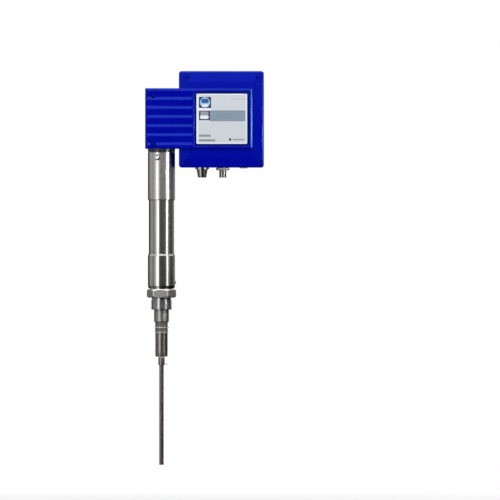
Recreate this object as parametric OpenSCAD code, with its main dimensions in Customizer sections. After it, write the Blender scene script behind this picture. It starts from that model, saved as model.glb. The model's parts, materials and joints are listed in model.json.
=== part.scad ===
// Electrode level sensor with a swivelling terminal box.
// The frame's origin is on the stem axis at the upper end of the process thread.
// +Z points up the stem, +X from the stem towards the terminal box, and the label faces -Y.

/* [Process connection] */
// Major diameter of the process thread
thread_d = 33.25; // [32.5:0.05:34]
// Length of the process thread below the relief groove
thread_len = 16.2; // [14:0.1:22]
// Chamfer at the lower end of the process thread
thread_chamfer = 1.2; // [0.8:0.1:1.6]
// Depth of the relief groove between thread and hexagon
relief_depth = 1.125; // [0.8:0.025:1.6]
// Height of the relief groove
relief_h = 3.2; // [2:0.1:4]
// Hexagon across flats
hex_af = 41; // [40:0.5:46]
// Height of the hexagon
hex_h = 13.8; // [12:0.1:18]
// Angle by which one flat is turned from the front
hex_turn = 12; // [0:1:30]
// Diameter of the plain nose below the thread
nose_d = 24; // [23:0.5:28]
// Length of the plain nose
nose_len = 20; // [14:0.5:30]

/* [Stem] */
// Outer diameter of both sleeves
sleeve_d = 44; // [43:0.5:48]
// Height of the lower sleeve
lower_sleeve_h = 55.9; // [46:0.1:70]
// Gap between the hexagon and the lower sleeve
sleeve_foot_gap = 1.1; // [0.5:0.1:2]
// Step from each sleeve down to the stem tube
sleeve_step = 1.5; // [1.3:0.1:2]
// Wall of the stem tube
tube_wall = 2; // [1.5:0.1:2.4]
// Length of the stem tube that shows between the sleeves
tube_exposed = 87; // [60:1:140]
// Depth to which the stem tube enters each sleeve
tube_socket = 14; // [10:0.5:18]
// Height of the upper sleeve
upper_sleeve_h = 78.2; // [72:0.1:95]
// Height of the swivel seal below the terminal box
seal_h = 5; // [3:0.1:7]
// Diameter of the weep hole in the stem tube
tube_weep_d = 2.6; // [2:0.1:4]
// Diameter of the weep hole in the lower sleeve
sleeve_weep_d = 2.8; // [2:0.1:4]

/* [Electrode] */
// Diameter of the insulating collar below the nose
collar_d = 20.5; // [19.5:0.1:23]
// Height of the insulating collar
collar_h = 17.8; // [15:0.1:22]
// Diameter of the guard electrode
guard_d = 19; // [17:0.1:19.4]
// Length of the guard electrode
guard_len = 38.1; // [25:0.1:60]
// Diameter of the white washer at the guard electrode's end
tip_washer_d = 10; // [9.6:0.1:12]
// Thickness of the white washer
tip_washer_h = 2.3; // [1.5:0.1:4]
// Diameter of the rod coupling
coupling_d = 9.2; // [8.6:0.1:9.5]
// Length of the rod coupling
coupling_len = 11.4; // [10:0.1:16]
// Diameter of the measuring rod
rod_d = 6; // [5.4:0.1:6.2]
// Length of the measuring rod below its coupling
rod_len = 161.7; // [60:0.1:600]

/* [Terminal box] */
// Distance from the stem axis to the left side of the lobe
lobe_left = 26.4; // [25:0.1:29]
// Height of the lobe over the stem
lobe_h = 98; // [97:0.5:106]
// Distance from the stem axis to the left wall of the box
box_left = 28.2; // [27.6:0.1:32]
// Width of the box
box_w = 137.7; // [134:0.1:160]
// Height of the box
box_h = 156.2; // [150:0.1:190]
// Distance by which the box hangs below the lobe
box_drop = 30.4; // [26:0.1:33]
// Depth from the stem axis to the raised front
front_depth = 34; // [33.4:0.1:38]
// Depth from the stem axis to the back
back_depth = 38; // [36:0.1:46]
// Height of the raised front over the face of the box
front_step = 5.4; // [4.8:0.1:5.8]
// Fall of the box's face from the raised front to its rounded edge
face_fall = 2.6; // [1:0.1:3]
// Rounding of the outer edges
edge_r = 3.7; // [2:0.1:4.4]
// Corner radius of the box in front view
corner_r = 4.4; // [4.4:0.1:8]
// Corner radius of the lobe and the raised block in front view
block_corner_r = 1.4; // [0.8:0.1:3]
// Wall of the castings
wall = 4; // [3:0.1:4.5]

/* [Ribs and label] */
// Number of ribs across the lobe
rib_count = 6; // [3:1:6]
// Pitch of the ribs
rib_pitch = 14.7; // [12.5:0.1:14.8]
// Depth of the ribs
rib_depth = 2.2; // [1.4:0.1:4]
// Distance from the stem axis to the label's left edge
label_left = 56.2; // [55:0.1:58]
// Width of the label plate
label_w = 83.6; // [70:0.1:84]
// Height of the label plate
label_h = 82.3; // [70:0.1:84]
// Thickness of the label plate
label_t = 0.8; // [0.4:0.1:1.2]
// Depth of the label recess
label_recess = 1.6; // [1.3:0.1:2.4]

/* [Connectors] */
// Distance from the left wall of the box to the socket's axis
socket_inset = 37.7; // [30:0.1:42]
// Distance between the axes of socket and plug
connector_pitch = 33.4; // [31:0.1:40]
// Distance from the right wall of the box to the vent plug's axis
vent_inset = 32.9; // [26:0.1:36]
// Length by which both connectors stand out of the box
connector_len = 16.1; // [14:0.1:20]
// Diameter of the plug's outer thread
plug_thread_d = 12; // [11.9:0.05:12.1]

/* [Hidden] */
$fn = 96;
slip = 0.05;
seat_gap = 0.02;
swivel_gap = 0.2;
swivel_clear = 0.3;

// Heights along the stem
hex_z0 = relief_h;
hex_z1 = hex_z0 + hex_h;
nose_z0 = -thread_len - nose_len;
lower_z0 = hex_z1 + sleeve_foot_gap;
lower_z1 = lower_z0 + lower_sleeve_h;
upper_z0 = lower_z1 + tube_exposed;
upper_z1 = upper_z0 + upper_sleeve_h;
tube_z0 = lower_z1 - tube_socket;
tube_z1 = upper_z0 + tube_socket;
lobe_z0 = upper_z1 + swivel_gap + seal_h;

// Bores and spigots of the stem
edge_break = 0.5;
lower_foot_chamfer = [1.4, 4.4];
upper_foot_chamfer = 1.2;
upper_top_chamfer = 0.6;
tube_d = sleeve_d - 2 * sleeve_step;
tube_bore_d = tube_d - 2 * tube_wall;
lower_sleeve_wall = 4;
body_spigot_d = sleeve_d - 2 * lower_sleeve_wall;
body_spigot_h = 9;
body_top_z = hex_z1 + body_spigot_h;
upper_sleeve_wall = 5;
swivel_bore_d = sleeve_d - 2 * upper_sleeve_wall;

// Electrode stack, from the nose downwards
collar_z0 = nose_z0 - collar_h;
guard_z0 = collar_z0 - guard_len;
washer_z0 = guard_z0 - tip_washer_h;
coupling_z0 = washer_z0 - coupling_len;
rod_z0 = coupling_z0 - rod_len;
ring_t = 1;
ring_proud = 0.45;
ring_d = collar_d + 2 * ring_proud;
ring_groove_depth = 1.75;
ring_groove_d = collar_d - 2 * ring_groove_depth;
ring_drop = [8.7, 16.5];
ring_tail = [13.3, 11.8];
ring_tail_w = 1.2;
guard_neck_d = 12;
guard_neck_wall = 1.5;
guard_bore_d = guard_neck_d - 2 * guard_neck_wall;
bush_wall = 2;
bush_d = guard_neck_d + 2 * bush_wall;
core_d = 5;
core_shoulder = 0.5;
core_tip_d = core_d - 2 * core_shoulder;
grip_h = 5.7;
grip_pitch = 1.1;
grip_depth = 0.35;

// Gland stack, from the pocket's floor upwards
gland_floor_h = 8.8;
gland_floor_z = hex_z0 + gland_floor_h;
gland_insulator_h = 4;
spring_t = 1.2;
spring_rise = 0.5;
spring_count = 4;
spring_d = 24;
spring_clear = 1;
gland_pocket_d = spring_d + 2 * spring_clear;
gland_washer_h = 2;
gland_nut_h = 10;
gland_nut_clear = 0.3;
gland_nut_af = (gland_pocket_d - 2 * gland_nut_clear) * cos(30);
neck_above_nut = 11.1;
spring_z0 = gland_floor_z + gland_insulator_h;
spring_pitch = spring_t + spring_rise + seat_gap;
gland_washer_z = spring_z0 + spring_count * spring_pitch;
gland_nut_z = gland_washer_z + gland_washer_h;
guard_top_z = gland_nut_z + gland_nut_h + neck_above_nut;
insulator_lip_h = 2;
core_nut_h = 4;
core_nut_af = 8;
core_nut_z = guard_top_z + insulator_lip_h;
core_shoulder_z = core_nut_z + core_nut_h;
core_tip_len = 8;

// Cable from the electrode to the terminal block
cable_socket_wall = 2.5;
cable_socket_d = guard_neck_d + 2 * cable_socket_wall;
cable_socket_skirt = 8;
cable_socket_cap = 6;
cable_socket_top = core_shoulder_z + core_tip_len + cable_socket_cap;
cable_d = 5;
cable_bend_r = 15;
cable_bend_rise = 36;
cable_bend_z = lobe_z0 + cable_bend_rise;
spacer_h = 6;
spacer_z = (lower_z1 + upper_z0) / 2;

// Rod coupling and its pin
coupling_rod_depth = 5.6;
coupling_core_depth = 5;
pin_d = 0.8;
pin_lift = 1.5;
pin_z = coupling_z0 + pin_lift;
pin_reach = 10;

// Swivel spigot in the upper sleeve, and its neck through the floor of the lobe
spigot_d = swivel_bore_d - 2 * slip;
spigot_len = 39.2;
spigot_neck_d = 18;
spigot_neck_wall = 3;
spigot_bore_d = spigot_neck_d - 2 * spigot_neck_wall;
spigot_floor_h = 6;
spigot_boss_d = 30;
spigot_nut_h = 5;
spigot_nut_af = 22;
spigot_spare = 1.5;
spigot_top = lobe_z0 + spigot_floor_h + spigot_nut_h + spigot_spare;
o_ring_t = 2.5;
o_ring_groove_h = 3;
o_ring_drop = [28, 21];
screw_groove_depth = 1.75;
screw_groove_d = spigot_d - 2 * screw_groove_depth;
screw_groove_h = 7;

// Locking screw, drain screw and weep holes, with their angles seen from above
lock_drop = 8.9;
lock_z = upper_z1 - lock_drop;
lock_angle = 252;
lock_shank_d = 6;
lock_head_d = 9.5;
lock_head_h = 2.8;
lock_socket_af = 3.5;
lock_socket_depth = 1.8;
drain_rise = 10.5;
drain_z = lower_z0 + drain_rise;
drain_shank_d = 5;
drain_head_d = 6.5;
drain_head_h = 1.4;
drain_tip_gap = 0.6;
sleeve_weep_rise = 17.3;
sleeve_weep_z = lower_z0 + sleeve_weep_rise;
sleeve_weep_angle = 316;
tube_weep_rise = 42.1;
tube_weep_z = lower_z1 + tube_weep_rise;
tube_weep_angle = 319;

// Label and the frame around its recess
label_x0 = label_left;
label_drop = 0.35;
label_z0 = lobe_z0 + (lobe_h - label_h) / 2 - label_drop;
label_gap_left = 2.7;
label_gap_right = 3.7;
label_gap_bottom = 3;
label_gap_top = 3.5;
frame_land = 1.3;
frame_post = 3.5;
label_corner_r = 1.2;
recess_rim = [1, 0.45];
recess_rect = [
    label_x0 - label_gap_left, label_z0 - label_gap_bottom,
    label_x0 + label_w + label_gap_right, label_z0 + label_h + label_gap_top
];

// Outlines of the terminal box in front view, each as [x0, z0, x1, z1]
lobe_x0 = -lobe_left;
lobe_z1 = lobe_z0 + lobe_h;
box_x0 = box_left;
box_x1 = box_x0 + box_w;
box_z0 = lobe_z0 - box_drop;
box_z1 = box_z0 + box_h;
block_x1 = label_x0 + label_w + label_gap_right + frame_land + edge_r;
box_rect = [box_x0, box_z0, box_x1, box_z1];
lobe_rect = [lobe_x0, lobe_z0, box_x0 + 4 * corner_r, lobe_z1];
block_rect = [lobe_x0, lobe_z0, block_x1, lobe_z1];

// Depths of the terminal box
front_y = -front_depth;
back_y = back_depth;
cover_depth = 14;
part_y = front_y + cover_depth;
parting_chamfer = 0.35;
least_corner_r = 0.4;
bevel_angle = 25;
bevel_turn_r = 2.2;
face_y = front_y + front_step;
edge_y = face_y + face_fall;
face_inset = 17;
label_y = front_y + label_recess;
front_wall = 3;
box_front_wall = 2.6;
block_cavity_y = front_y + rib_depth + front_wall;
label_cavity_y = label_y + front_wall;
box_cavity_y = edge_y + box_front_wall;
floor_y = back_y - wall;

// Ribs: each face leans back to the foot of a slope, which faces up and meets the next crest
rib_inset = 2.6;
rib_x0 = lobe_x0 + rib_inset;
rib_x1 = label_x0 - label_gap_left - frame_post;
rib_top_drop = 4.65;
rib_slope_h = 4.9;
rib_crest_h = 0.5;
rib_edge = [0.2, 0.8];
rib_face_h = rib_pitch - rib_slope_h - rib_crest_h;

// Cover screws and gasket
screw_d = 4;
screw_clear = 0.5;
screw_hole_d = screw_d + screw_clear;
screw_head_d = 7;
screw_head_h = 3;
screw_reach = 7;
hole_spare = 0.6;
screw_seat_h = 3.5;
screw_seat_y = part_y - screw_seat_h;
head_clear = 0.8;
screw_sink_d = screw_head_d + 2 * head_clear;
sink_wall = 1.5;
boss_wall = 2.8;
boss_d = screw_d + 2 * boss_wall;
short_boss_end = 2;
short_boss_y = part_y + screw_reach + short_boss_end;
boss_root = 1;
web_t = 2.4;
web_reach = 14;
gasket_h = 1.6;
gasket_in = 1.1;
gasket_w = 1.8;

// Each cover screw: its place, the side of its nearest walls, the rear end of its column
// in the base and the front end of its column in the cover
lobe_screw_inset = 13.4;
lobe_screw_x = lobe_x0 + lobe_screw_inset;
lobe_screw_drop = 12;
lobe_screw_rise = 7.8;
box_screw_inset = [12.8, 8.9];
box_screw_x = [box_x0 + box_screw_inset[0], box_x1 - box_screw_inset[1]];
box_screw_rise = 9;
box_screw_z = [box_z0 + box_screw_rise, box_z1 - box_screw_rise];
boss_end = floor_y + boss_root;
block_column = block_cavity_y - boss_root;
box_column = box_cavity_y - boss_root;
screw_spots = [
    [lobe_screw_x, lobe_z1 - lobe_screw_drop, -1, 1, boss_end, block_column],
    [lobe_screw_x, lobe_z0 + lobe_screw_rise, -1, -1, short_boss_y, block_column],
    for (i = [0:1])
        for (j = [0:1])
            [box_screw_x[i], box_screw_z[j], 2 * i - 1, 2 * j - 1, boss_end, box_column]
];

// Connectors in the floor of the box
connector_y = 2;
socket_x = box_x0 + socket_inset;
plug_x = socket_x + connector_pitch;
vent_x = box_x1 - vent_inset;
connector_z0 = box_z0 - connector_len;
connector_tail = 12;
tail_z = box_z0 + connector_tail;
mate_depth = 9.5;
mate_z = connector_z0 + mate_depth;
panel_thread_d = 16;
panel_nut_wall = 2;
panel_nut_af = panel_thread_d + 2 * panel_nut_wall;
panel_nut_h = 4;
seal_ring_t = 1;
seal_ring_w = 2.5;
insert_wall = 1.8;
insert_d = panel_thread_d - 2 * insert_wall;
insert_step = 1;
socket_flange_d = 22.7;
socket_flange_h = 2.4;
socket_top_d = 18.3;
socket_end_d = 13.6;
socket_wall = 1.3;
socket_bore_d = socket_end_d - 2 * socket_wall;
carrier_gap = 1.35;
carrier_d = socket_bore_d - 2 * carrier_gap;
carrier_inset = 1;
plug_flange_af = panel_thread_d + 4;
plug_flange_h = 4.4;
plug_wall = 0.9;
plug_bore_d = plug_thread_d - 2 * plug_wall;
contact_d = 1;
contact_wall = 0.2;
contact_inset = 1.6;
contact_depth = 4;
contact_root = 4;
pin_inset = 1.5;
pin_point_h = 0.5;
contact_circle_d = 5.5;
contact_spots = concat(
    [[0, 0]],
    [for (a = [45:90:315]) [contact_circle_d / 2 * cos(a), contact_circle_d / 2 * sin(a)]]
);
lead_d = 5;
lead_rise = 24;
lead_bend_r = 10;
vent_d = 13;
vent_proud = 1.3;
vent_rim = 1.5;
vent_thread_d = vent_d - 2 * vent_rim;
vent_thread_spare = 2;
vent_slot_w = 1.4;
vent_slot_depth = 0.7;
earth_offset = [-28, 12];
earth_spot = [box_x1, box_z0] + earth_offset;
earth_boss_h = 8;
earth_y = floor_y - earth_boss_h;

// Circuit board and what stands on it
board_margin = [16, 18];
board_margin_z = 22;
board_x0 = box_x0 + board_margin[0];
board_x1 = box_x1 - board_margin[1];
board_z0 = box_z0 + board_margin_z;
board_z1 = box_z1 - board_margin_z;
board_t = 1.6;
standoff_h = 12;
standoff_d = 8;
board_y = floor_y - standoff_h;
board_front_y = board_y - board_t;
board_screw_d = 3;
board_screw_clear = 0.4;
board_screw_reach = 8;
board_screw_head_d = 5.6;
board_screw_head_h = 2.2;
board_inset = 6;
board_spots = [
    for (x = [board_x0 + board_inset, board_x1 - board_inset])
        for (z = [board_z0 + board_inset, board_z1 - board_inset])
            [x, z]
];
terminal_w = 14;
terminal_h = 40;
terminal_lip = 3.1;
terminal_depth = board_front_y + cable_d / 2 + terminal_lip;
terminal_ways = 5;
terminal_hole_d = 4;
terminal_hole_depth = 5;
terminal_margin = 4;
terminal_x0 = board_x0 + terminal_margin;
terminal_z0 = cable_bend_z + cable_bend_r - terminal_h / 2;
power_margin = 8;
power_lead_gap = 6.1;
power_x0 = plug_x + lead_d / 2 + power_lead_gap;
power_size = [board_x1 - power_margin - power_x0, 24];
power_rise = 28;
power_spot = [power_x0 + power_size[0] / 2, board_z0 + power_rise];
power_h = 12;
capacitor_offset = [36, -18];
capacitor_spot = [board_x0, board_z1] + capacitor_offset;
capacitor_pitch = 13;
capacitor_d = 10;
capacitor_h = 14;
chip_w = 14;
chip_h = 1.6;
chip_dot_d = 1.2;
chip_dot_depth = 0.3;
chip_dot_inset = 2;
chip_gap = 10.2;
chip_spot = capacitor_spot + [2 * capacitor_pitch, -capacitor_d / 2 - chip_gap - chip_w / 2];
led_offset = [-10, -28];
led_spot = [board_x1, board_z1] + led_offset;
led_d = 3;
led_rim = 0.4;
led_rim_h = 1;
led_h = 3.8;
led_pitch = 10;

// Solid between two depths whose front view is the child's outline
module slab(y0, y1) {
    translate([0, y1, 0])
        rotate([90, 0, 0])
            linear_extrude(y1 - y0)
                children();
}

// Points of a rectangle with round corners, given by its low corner, high corner and radius
function round_rect(x0, z0, x1, z1, r, steps = 8) = concat(
    [for (i = [0:steps]) [x1 - r + r * cos(90 * i / steps), z1 - r + r * sin(90 * i / steps)]],
    [for (i = [0:steps]) [x0 + r - r * sin(90 * i / steps), z1 - r + r * cos(90 * i / steps)]],
    [for (i = [0:steps]) [x0 + r - r * cos(90 * i / steps), z0 + r - r * sin(90 * i / steps)]],
    [for (i = [0:steps]) [x1 - r + r * sin(90 * i / steps), z0 + r - r * cos(90 * i / steps)]]
);

// Points of a rectangle [x0, z0, x1, z1] with corner radius r that is drawn in by an inset on every side
function inset_points(rect, inset, r) = round_rect(
    rect[0] + inset, rect[1] + inset, rect[2] - inset, rect[3] - inset, max(r - inset, least_corner_r));

// Box and lobe as one outline, drawn in by an inset
module head_outline(inset) {
    polygon(inset_points(box_rect, inset, corner_r));
    polygon(inset_points(lobe_rect, inset, block_corner_r));
}

// Block whose outline is drawn in ring by ring; a ring is [depth, inset]
module ring_block(rect, r, rings) {
    outline = inset_points(rect, 0, r);
    n = len(outline);
    last = len(rings) - 1;
    points = [for (ring = rings) for (p = inset_points(rect, ring[1], r)) [p[0], ring[0], p[1]]];
    sides = [
        for (i = [0:last - 1])
            for (j = [0:n - 1])
                [i * n + j, i * n + (j + 1) % n, (i + 1) * n + (j + 1) % n, (i + 1) * n + j]
    ];
    first_cap = [for (j = [0:n - 1]) n - 1 - j];
    last_cap = [for (j = [0:n - 1]) last * n + j];
    faces = concat(sides, [first_cap, last_cap]);
    backwards = rings[last][0] < rings[0][0];
    polyhedron(points, backwards ? [for (f = faces) [for (k = [len(f) - 1:-1:0]) f[k]]] : faces);
}

// Rings of a straight wall that starts with a small chamfer at y0 and ends in a bevel before y1
function bevelled_rings(y0, y1, steps = 5) = let (
    dir = sign(y1 - y0),
    bevel_h = (edge_r - bevel_turn_r * (1 - sin(bevel_angle))) * tan(bevel_angle),
    turn_h = bevel_h + bevel_turn_r * cos(bevel_angle)
) concat(
    [[y0, parting_chamfer], [y0 + dir * parting_chamfer, 0]],
    [for (i = [0:steps]) let (a = 90 - (90 - bevel_angle) * i / steps)
        [y1 - dir * (turn_h - bevel_turn_r * cos(a)), bevel_turn_r * (1 - sin(a))]],
    [[y1, edge_r]]
);

// Rings of a straight wall that starts with a small chamfer at y0 and is rounded over at y1
function rounded_rings(y0, y1, steps = 6) = let (dir = sign(y1 - y0)) concat(
    [[y0, parting_chamfer], [y0 + dir * parting_chamfer, 0]],
    [for (i = [0:steps])
        [y1 - dir * edge_r * (1 - sin(90 * i / steps)), edge_r * (1 - cos(90 * i / steps))]]
);

// Tube about the stem axis
module tube(d, bore, z0, z1) {
    difference() {
        translate([0, 0, z0]) cylinder(d = d, h = z1 - z0);
        translate([0, 0, z0 - 1]) cylinder(d = bore, h = z1 - z0 + 2);
    }
}

// Hexagon whose corners are turned off at both ends
module chamfered_hex(af, h, lift = 0.9) {
    corner = af / cos(30) / 2;
    face = af / 2 - 0.3;
    intersection() {
        cylinder(r = corner, h = h, $fn = 6);
        rotate_extrude()
            polygon([
                [0, 0], [face, 0], [corner + 0.1, lift * (corner - face + 0.1)],
                [corner + 0.1, h - lift * (corner - face + 0.1)], [face, h], [0, h]
            ]);
    }
}

module hex_nut(af, h, bore) {
    difference() {
        chamfered_hex(af, h, 0.58);
        translate([0, 0, -1]) cylinder(d = bore, h = h + 2);
    }
}

// Radial placement on the stem: local +X points outwards at the given angle
module radial(angle, z) {
    rotate([0, 0, angle])
        translate([0, 0, z])
            rotate([0, 90, 0])
                children();
}

// Placement of a child that points towards the front, in front view at a spot
module facing_front(spot, y) {
    translate([spot[0], y, spot[1]])
        rotate([90, 0, 0])
            children();
}

module process_body() {
    nose_r = nose_d / 2;
    thread_r = thread_d / 2;
    relief_r = thread_r - relief_depth;
    spigot_r = body_spigot_d / 2;
    color("silver")
        difference() {
            union() {
                rotate_extrude()
                    polygon([
                        [0, nose_z0], [nose_r - 1, nose_z0], [nose_r, nose_z0 + 1],
                        [nose_r, -thread_len], [thread_r - thread_chamfer, -thread_len],
                        [thread_r, thread_chamfer - thread_len], [thread_r, 0],
                        [relief_r, 0], [relief_r, hex_z0 + 1], [relief_r, hex_z1 - 1],
                        [spigot_r, hex_z1 - 1], [spigot_r, body_top_z - edge_break],
                        [spigot_r - edge_break, body_top_z], [0, body_top_z]
                    ]);
                rotate([0, 0, -hex_turn])
                    translate([0, 0, hex_z0])
                        chamfered_hex(hex_af, hex_h, 0.62);
            }
            translate([0, 0, nose_z0 - 1])
                cylinder(d = bush_d + 2 * slip, h = gland_floor_z - nose_z0 + 2);
            translate([0, 0, gland_floor_z])
                cylinder(d = gland_pocket_d, h = body_top_z - gland_floor_z + 1);
        }
}

module lower_sleeve() {
    r = sleeve_d / 2;
    fall = (sleeve_d - tube_d) / 2;
    color("gainsboro")
        difference() {
            rotate_extrude()
                polygon([
                    [body_spigot_d / 2 + slip, lower_z0],
                    [r - lower_foot_chamfer[0], lower_z0], [r, lower_z0 + lower_foot_chamfer[1]],
                    [r, lower_z1 - 2 * fall], [r - fall + 0.5, lower_z1],
                    [tube_d / 2 + slip, lower_z1], [tube_d / 2 + slip, tube_z0],
                    [body_spigot_d / 2 + slip, tube_z0]
                ]);
            radial(sleeve_weep_angle, sleeve_weep_z)
                cylinder(d = sleeve_weep_d, h = r + 1);
            radial(0, drain_z)
                cylinder(d = drain_shank_d + 2 * slip, h = r + 1);
        }
}

module stem_tube() {
    color("silver")
        difference() {
            tube(tube_d, tube_bore_d, tube_z0, tube_z1);
            radial(tube_weep_angle, tube_weep_z)
                cylinder(d = tube_weep_d, h = tube_d);
        }
}

module upper_sleeve() {
    r = sleeve_d / 2;
    color("gainsboro")
        difference() {
            rotate_extrude()
                polygon([
                    [tube_d / 2 + slip, upper_z0], [r - upper_foot_chamfer, upper_z0],
                    [r, upper_z0 + upper_foot_chamfer], [r, upper_z1 - upper_top_chamfer],
                    [r - upper_top_chamfer, upper_z1], [swivel_bore_d / 2, upper_z1],
                    [swivel_bore_d / 2, tube_z1], [tube_d / 2 + slip, tube_z1]
                ]);
            radial(lock_angle, lock_z)
                cylinder(d = lock_shank_d + 2 * slip, h = r + 1);
        }
}

// Button head with a hexagon socket, and a flat-ended shank in the spigot's groove
module locking_screw() {
    tip = screw_groove_d / 2 + swivel_clear;
    seat = sleeve_d / 2;
    color("lightgray")
        radial(lock_angle, lock_z)
            difference() {
                rotate_extrude()
                    polygon([
                        [0, tip], [lock_shank_d / 2 - 0.5, tip], [lock_shank_d / 2, tip + 0.5],
                        [lock_shank_d / 2, seat], [lock_head_d / 2, seat],
                        [lock_head_d / 2, seat + 0.8], [lock_head_d / 2 - 0.7, seat + 1.9],
                        [lock_head_d / 2 - 2, seat + lock_head_h], [0, seat + lock_head_h]
                    ]);
                translate([0, 0, seat + lock_head_h - lock_socket_depth])
                    cylinder(d = lock_socket_af / cos(30), h = lock_socket_depth + 1, $fn = 6);
            }
}

module drain_screw() {
    seat = sleeve_d / 2;
    tip = body_spigot_d / 2 + drain_tip_gap;
    color("lightgray")
        radial(0, drain_z)
            rotate_extrude()
                polygon([
                    [0, tip], [drain_shank_d / 2, tip],
                    [drain_shank_d / 2, seat], [drain_head_d / 2, seat],
                    [drain_head_d / 2 - 0.3, seat + drain_head_h - 0.5],
                    [drain_head_d / 2 - 1, seat + drain_head_h], [0, seat + drain_head_h]
                ]);
}

module electrode_core() {
    foot = washer_z0 - coupling_core_depth + seat_gap;
    top = core_shoulder_z + core_tip_len;
    color("darkgray")
        rotate_extrude()
            polygon([
                [0, foot], [core_d / 2, foot], [core_d / 2, core_shoulder_z],
                [core_tip_d / 2, core_shoulder_z], [core_tip_d / 2, top - 0.6],
                [core_tip_d / 2 - 0.6, top], [0, top]
            ]);
}

module inner_insulator() {
    color("white")
        union() {
            tube(guard_bore_d - 2 * slip, core_d + 2 * slip, guard_z0, guard_top_z);
            tube(guard_neck_d, core_d + 2 * slip, guard_top_z, core_nut_z);
        }
}

// One turned piece: the barrel that shows, its grip grooves, and the neck inside the stem
module guard_electrode() {
    r = guard_d / 2;
    color("rosybrown")
        difference() {
            rotate_extrude()
                polygon([
                    [guard_bore_d / 2, guard_z0], [r - 0.8, guard_z0], [r, guard_z0 + 0.8],
                    [r, collar_z0], [guard_neck_d / 2, collar_z0],
                    [guard_neck_d / 2, guard_top_z], [guard_bore_d / 2, guard_top_z]
                ]);
            for (z = [guard_z0 + 1.5:grip_pitch:guard_z0 + grip_h])
                translate([0, 0, z])
                    rotate_extrude()
                        polygon([[r + 1, -grip_depth - 1], [r + 1, grip_depth + 1], [r - grip_depth, 0]]);
        }
}

// Collar below the nose and sleeve in the body's bore, as one piece
module insulating_bush() {
    color("tan")
        difference() {
            union() {
                tube(collar_d, guard_neck_d + 2 * slip, collar_z0, nose_z0);
                tube(bush_d, guard_neck_d + 2 * slip, nose_z0, gland_floor_z);
            }
            for (drop = ring_drop)
                translate([0, 0, nose_z0 - drop])
                    tube(collar_d + 1, ring_groove_d, -ring_t / 2 - seat_gap, ring_t / 2 + seat_gap);
        }
}

// Two wire-end rings in the collar's grooves, each with a short tail to the right
module retaining_rings() {
    color("whitesmoke")
        for (i = [0:1])
            translate([0, 0, nose_z0 - ring_drop[i] - ring_t / 2])
                difference() {
                    union() {
                        cylinder(d = ring_d, h = ring_t);
                        translate([0, -ring_tail_w / 2, 0]) cube([ring_tail[i], ring_tail_w, ring_t]);
                    }
                    translate([0, 0, -1]) cylinder(d = ring_groove_d + 2 * slip, h = ring_t + 2);
                }
}

module gland_insulator() {
    color("ivory")
        tube(gland_pocket_d - 2 * slip, guard_neck_d + 2 * slip, gland_floor_z, spring_z0);
}

// Conical washers in opposed pairs
module disc_springs() {
    inner = guard_neck_d / 2 + 0.2;
    outer = spring_d / 2;
    color("dimgray")
        for (i = [0:spring_count - 1]) {
            inner_lift = i % 2 == 0 ? spring_rise : 0;
            outer_lift = spring_rise - inner_lift;
            translate([0, 0, spring_z0 + i * spring_pitch + seat_gap])
                rotate_extrude()
                    polygon([
                        [inner, inner_lift], [outer, outer_lift],
                        [outer, outer_lift + spring_t], [inner, inner_lift + spring_t]
                    ]);
        }
}

module gland_washer() {
    color("silver")
        tube(spring_d, guard_neck_d + 2 * slip, gland_washer_z + seat_gap, gland_nut_z);
}

module gland_nut() {
    color("silver")
        translate([0, 0, gland_nut_z])
            hex_nut(gland_nut_af, gland_nut_h, guard_neck_d + 2 * slip);
}

module core_nut() {
    color("goldenrod")
        translate([0, 0, core_nut_z])
            hex_nut(core_nut_af, core_nut_h, core_d + 2 * slip);
}

module tip_washer() {
    color("white")
        tube(tip_washer_d, core_d + 2 * slip, washer_z0, guard_z0);
}

module rod_coupling() {
    r = coupling_d / 2;
    color("dimgray")
        difference() {
            rotate_extrude()
                polygon([
                    [0, coupling_z0], [r - 0.4, coupling_z0], [r, coupling_z0 + 0.4],
                    [r, washer_z0 - 0.4], [r - 0.4, washer_z0], [0, washer_z0]
                ]);
            translate([0, 0, washer_z0 - coupling_core_depth])
                cylinder(d = core_d + 2 * slip, h = coupling_core_depth + 1);
            translate([0, 0, coupling_z0 - 1])
                cylinder(d = rod_d + 2 * slip, h = coupling_rod_depth + 1);
            radial(0, pin_z)
                translate([0, 0, -r - 1])
                    cylinder(d = pin_d + 2 * seat_gap, h = 2 * r + 2);
        }
}

// Thin pin through coupling and rod, left long on the right
module locking_pin() {
    color("lightgray")
        radial(0, pin_z)
            translate([0, 0, -coupling_d / 2])
                cylinder(d = pin_d, h = coupling_d / 2 + pin_reach);
}

module measuring_rod() {
    r = rod_d / 2;
    top = coupling_z0 + coupling_rod_depth - seat_gap;
    color("lightgray")
        difference() {
            rotate_extrude()
                polygon([[0, rod_z0], [r - 0.5, rod_z0], [r, rod_z0 + 0.5], [r, top], [0, top]]);
            radial(0, pin_z)
                translate([0, 0, -r - 1])
                    cylinder(d = pin_d + 2 * seat_gap, h = 2 * r + 2);
        }
}

// Disc that keeps the cable on the axis of the stem tube
module cable_spacer() {
    color("white")
        difference() {
            tube(tube_bore_d - 2 * slip, cable_d + 2 * swivel_clear, spacer_z, spacer_z + spacer_h);
            for (a = [0:60:300])
                rotate([0, 0, a])
                    translate([tube_bore_d / 3, 0, spacer_z - 1])
                        cylinder(d = 5, h = spacer_h + 2);
        }
}

// Column about a cover screw, webbed to the two nearest walls
module screw_column(spot, d, y0, y1) {
    slab(y0, y1)
        intersection() {
            head_outline(1);
            union() {
                translate([spot[0], spot[1]]) circle(d = d);
                translate([spot[0] + min(spot[2], 0) * web_reach, spot[1] - web_t / 2])
                    square([web_reach, web_t]);
                translate([spot[0] - web_t / 2, spot[1] + min(spot[3], 0) * web_reach])
                    square([web_t, web_reach]);
            }
        }
}

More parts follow.
